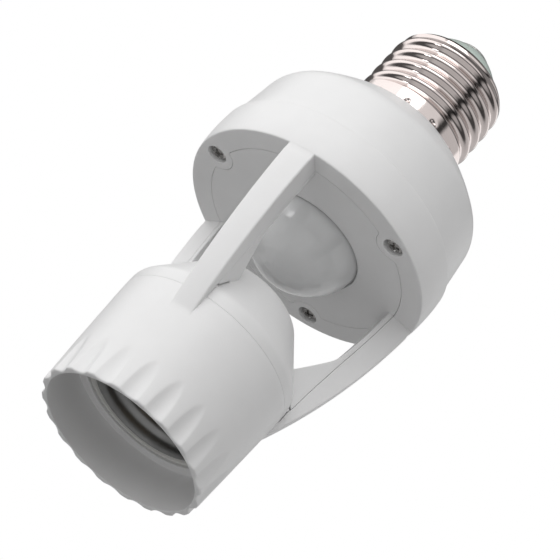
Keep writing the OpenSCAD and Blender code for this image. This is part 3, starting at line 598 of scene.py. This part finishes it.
plug_rows = heights(PLUG_Z + 0.05, THREAD_FROM, 0.16) + heights(THREAD_FROM, THREAD_TO, 0.2)[1:]
plug_side = [(plug_line(z), z) for z in plug_rows]
plug_outline = (plug_side + arc(plug_mean - 2.05, SHELL_END - 1.9, 1.9, 20, 90, 8)
                + arc(plug_mean - 2.05, SHELL_END - 1.9, 1.9 - SHEET_T, 90, 20, 5)
                + [(r - SHEET_T, z) for r, z in plug_side[::-3]])
plug_shell = piece("plug_shell_skin", [revolve(plug_outline, 300, plug_place)], nickel,
                   stands_for=["plug_shell"], crease=50)
neck_r = plug_mean - 2.2
insulator_outline = (rounded([(0, SHELL_END - 3.4), (neck_r, SHELL_END - 3.4, 0.3), (neck_r, SHELL_END + 0.14)])
                     + arc_between((neck_r - 0.3, SHELL_END + 0.16), (5.2, TIP_Z - 1.55), 15.2, 24)
                     + [(0, TIP_Z - 1.55)])
plug_insulator = piece("plug_insulator_glass", [revolve(insulator_outline, 160)], insulator,
                       stands_for=["plug_insulator"])
contact_outline = rounded([(0, TIP_Z - 1.6), (4.9, TIP_Z - 1.6, 0.1), (4.9, TIP_Z - 1.1, 0.4),
                           (4.2, TIP_Z - 0.5, 0.8), (2.4, TIP_Z - 0.05, 0.6), (1.9, TIP_Z, 0.1),
                           (1.2, TIP_Z - 0.1, 0.2), (0, TIP_Z - 0.25)], 5)
plug_contact = piece("plug_tip_contact", [revolve(contact_outline, 96)], tin,
                     stands_for=["plug_contact"])

# Socket: carrier and threaded shell inside the mouth
CARRIER_RIM = LEDGE_Z + 0.3
BASE_TOP = CONTACT_Z + 2.5
wall_in = SOCKET_R + 1.75
carrier_outline = rounded([(0, CONTACT_Z), (SOCKET_R + 0.8, CONTACT_Z), (SOCKET_R + 0.8, CONTACT_Z - 1.4, 0.2),
                           (wall_in, CONTACT_Z - 1.4), (wall_in, CARRIER_RIM + 0.6, 0.3),
                           (wall_in + 0.45, CARRIER_RIM, 0.2), (CARRIER_R, CARRIER_RIM, 0.25),
                           (CARRIER_R, BASE_TOP, 0.3), (0, BASE_TOP)], 5)
hole = revolve([(0, CONTACT_Z - 1), (1.35, CONTACT_Z - 1), (1.35, BASE_TOP + 1), (0, BASE_TOP + 1)], 40)
socket_carrier = piece("socket_carrier_body", [revolve(carrier_outline, 200)], carrier_painted_shade_grey,
                       stands_for=["socket_carrier"],
                       cuts=[turned(hole, pi / 2, (8.8 * s, 0, 0)) for s in (-1, 1)])
socket_mean = SOCKET_R + 0.5
SOCKET_FROM, SOCKET_TO = CARRIER_RIM + 0.9, CONTACT_Z - 3


def socket_place(r, z, a):
    share = thread_share(z, SOCKET_FROM - 0.4, SOCKET_TO + 0.4)
    return r + share * 0.5 * cos(a - 2 * pi * (z - CARRIER_RIM) / PITCH), z


socket_side = ([(socket_mean + 0.5, CARRIER_RIM), (socket_mean + 0.36, CARRIER_RIM + 0.3)]
               + [(socket_mean, z) for z in heights(SOCKET_FROM, SOCKET_TO, 0.24)]
               + [(socket_mean - 0.15, CONTACT_Z - 2), (socket_mean - 0.2, CONTACT_Z - 0.05)])
socket_outline = [(r + 0.3, z) for r, z in socket_side] + socket_side[::-1]
socket_shell = piece("socket_shell_skin", [revolve(socket_outline, 240, socket_place)], socket_metal_and_painted_shade,
                     stands_for=["socket_shell"], crease=50)

# Finishes of the pieces that keep their solids
finishes = {
    "carrier_screws": bright_steel,
    "shell_tab": brass,
    "contact_foot": bronze,
    "centre_contact": bronze,
    "contact_rivets": tin,
    "board_screws": bright_steel,
    "lens_retainer": black_plastic,
    "infrared_detector": material("can_metal", (0.68, 0.68, 0.65), 0.22, metal=1.0, vary=0.05),
    "daylight_sensor": material("sensor_face", (0.62, 0.32, 0.14), 0.35, vary=0.2, vary_scale=900),
    "circuit_board": material("board", (0.05, 0.2, 0.09), 0.3, vary=0.25, vary_scale=500, grain=0.05),
    "relay": material("relay_blue", (0.03, 0.12, 0.4), 0.35, vary=0.06, grain=0.03),
    "film_capacitor": material("capacitor_yellow", (0.72, 0.45, 0.04), 0.4, vary=0.06, grain=0.04),
    "electrolytic_capacitor": material("sleeve_dark", (0.03, 0.035, 0.05), 0.3, vary=0.1),
    "rectifier_diodes": material("component_black", (0.02, 0.02, 0.02), 0.45, vary=0.15, grain=0.04),
    "fusible_resistor": material("resistor_blue", (0.16, 0.32, 0.45), 0.4, vary=0.08, grain=0.04),
    "control_chip": material("chip_black", (0.018, 0.018, 0.02), 0.55, vary=0.15, grain=0.05),
    "plug_lead": material("wire_red", (0.5, 0.03, 0.02), 0.4, vary=0.06, grain=0.02),
    "switched_wire": material("wire_red_dark", (0.42, 0.03, 0.02), 0.42, vary=0.06, grain=0.02),
    "shell_lead": material("wire_blue", (0.02, 0.07, 0.4), 0.4, vary=0.06, grain=0.02),
    "neutral_wire": material("wire_blue_dark", (0.02, 0.08, 0.42), 0.42, vary=0.06, grain=0.02),
}
for name, mat in finishes.items():
    for place in nodes[name].material_slots:
        place.material = mat

# Stage: floor far below, because the photograph looks up at the mouth
FLOOR_Z, FLOOR_HALF = -0.6, 0.5
floor_mesh = bpy.data.meshes.new("floor")
floor_mesh.from_pydata([(-FLOOR_HALF, -FLOOR_HALF, FLOOR_Z), (FLOOR_HALF, -FLOOR_HALF, FLOOR_Z),
                        (FLOOR_HALF, FLOOR_HALF, FLOOR_Z), (-FLOOR_HALF, FLOOR_HALF, FLOOR_Z)], [],
                       [(0, 1, 2, 3)])
floor = bpy.data.objects.new("floor", floor_mesh)
bpy.context.scene.collection.objects.link(floor)
floor_mesh.materials.append(material("floor_pale", (0.74, 0.74, 0.74), 0.9, vary=0.01, vary_scale=3))

# Camera at the photograph's viewing angle
camera_data = bpy.data.cameras.new("camera")
camera_data.lens = 175.575
camera_data.sensor_width = 36
camera_data.clip_start, camera_data.clip_end = 0.01, 20
camera = bpy.data.objects.new("camera", camera_data)
camera.location = (0.41911, 0.206255, -0.213912)
camera.rotation_euler = [radians(a) for a in (127.2844, -35.8787, 91.9529)]
bpy.context.scene.collection.objects.link(camera)
bpy.context.scene.camera = camera

# Studio: the surroundings give a soft light that depends on direction, brightest towards azimuth -50
AZIMUTHS = [(-180, 0.5), (-142, 0.4), (-124, 0.1), (-98, 0.1), (-90, 0.7), (-34, 0.8), (-26, 0.6),
            (-18, 0.9), (0, 0.9), (11, 0.85), (54, 0.8), (62, 0.4), (67, 0.04), (75, 0.04), (82, 0.6),
            (160, 0.58), (180, 0.5)]
ELEVATIONS = [(-90, 0.36), (-60, 0.57), (-32, 0.67), (-27, 0.1), (-19, 0.1), (-13, 0.85), (0, 1.0), (37, 1.0),
              (43, 0.15), (49, 0.15), (54, 0.55), (62, 0.42), (90, 0.2)]
LIGHT = 1.16
world = bpy.data.worlds.new("studio")
bpy.context.scene.world = world
world.use_nodes = True
sky = world.node_tree
sky.nodes.clear()


def sky_node(kind, operation=None, second=None):
    n = sky.nodes.new(kind)
    if operation:
        n.operation = operation
    if second is not None:
        n.inputs[1].default_value = second
    return n


def sky_ramp(stops, full):
    n = sky.nodes.new("ShaderNodeValToRGB")
    bar = n.color_ramp.elements
    for i, (angle, level) in enumerate(stops):
        at = (angle + full / 2) / full
        spot = bar[i] if i < 2 else bar.new(at)
        spot.position = at
        spot.color = (level, level, level, 1)
    return n


way = sky_node("ShaderNodeTexCoord")
split = sky_node("ShaderNodeSeparateXYZ")
turn = sky_node("ShaderNodeMath", "ARCTAN2")
turn_share = sky_node("ShaderNodeMath", "MULTIPLY_ADD", 0.5 / pi)
turn_share.inputs[2].default_value = 0.5
rise = sky_node("ShaderNodeMath", "ARCSINE")
rise_share = sky_node("ShaderNodeMath", "MULTIPLY_ADD", 1 / pi)
rise_share.inputs[2].default_value = 0.5
round_ramp, high_ramp = sky_ramp(AZIMUTHS, 360), sky_ramp(ELEVATIONS, 180)
product = sky_node("ShaderNodeMath", "MULTIPLY")
strength = sky_node("ShaderNodeMath", "MULTIPLY", LIGHT)
given, seen = sky_node("ShaderNodeBackground"), sky_node("ShaderNodeBackground")
rays, pick, sky_out = (sky_node("ShaderNodeLightPath"), sky_node("ShaderNodeMixShader"),
                       sky_node("ShaderNodeOutputWorld"))
for back in (given, seen):
    back.inputs["Color"].default_value = (1, 1, 1, 1)
for start, end in ((way.outputs["Generated"], split.inputs[0]),
                   (split.outputs["Y"], turn.inputs[0]), (split.outputs["X"], turn.inputs[1]),
                   (turn.outputs[0], turn_share.inputs[0]), (turn_share.outputs[0], round_ramp.inputs[0]),
                   (split.outputs["Z"], rise.inputs[0]), (rise.outputs[0], rise_share.inputs[0]),
                   (rise_share.outputs[0], high_ramp.inputs[0]),
                   (round_ramp.outputs[0], product.inputs[0]), (high_ramp.outputs[0], product.inputs[1]),
                   (product.outputs[0], strength.inputs[0]), (strength.outputs[0], given.inputs["Strength"]),
                   (rays.outputs["Is Camera Ray"], pick.inputs["Fac"]),
                   (given.outputs[0], pick.inputs[1]), (seen.outputs[0], pick.inputs[2]),
                   (pick.outputs[0], sky_out.inputs["Surface"])):
    sky.links.new(start, end)
bpy.context.scene.view_settings.view_transform = "Standard"


def soft_box(name, azimuth, elevation, distance, size, power):
    """Soft light that looks at the object from a direction in degrees."""
    data = bpy.data.lights.new(name, "AREA")
    data.shape, data.size, data.energy = "SQUARE", size, power
    lamp = bpy.data.objects.new(name, data)
    aim = Vector((cos(radians(elevation)) * cos(radians(azimuth)),
                  cos(radians(elevation)) * sin(radians(azimuth)), sin(radians(elevation))))
    lamp.location = Vector((0, 0, 0.06)) + aim * distance
    lamp.rotation_euler = aim.to_track_quat("Z", "Y").to_euler()
    bpy.context.scene.collection.objects.link(lamp)


soft_box("box_left", -64, 24, 0.6, 0.8, 1.25)
soft_box("box_front", -5, 28, 0.6, 0.42, 1.05)
soft_box("box_back", 155, 32, 0.7, 0.4, 0.3)
soft_box("box_glint", -30, -13, 0.6, 0.11, 0.15)
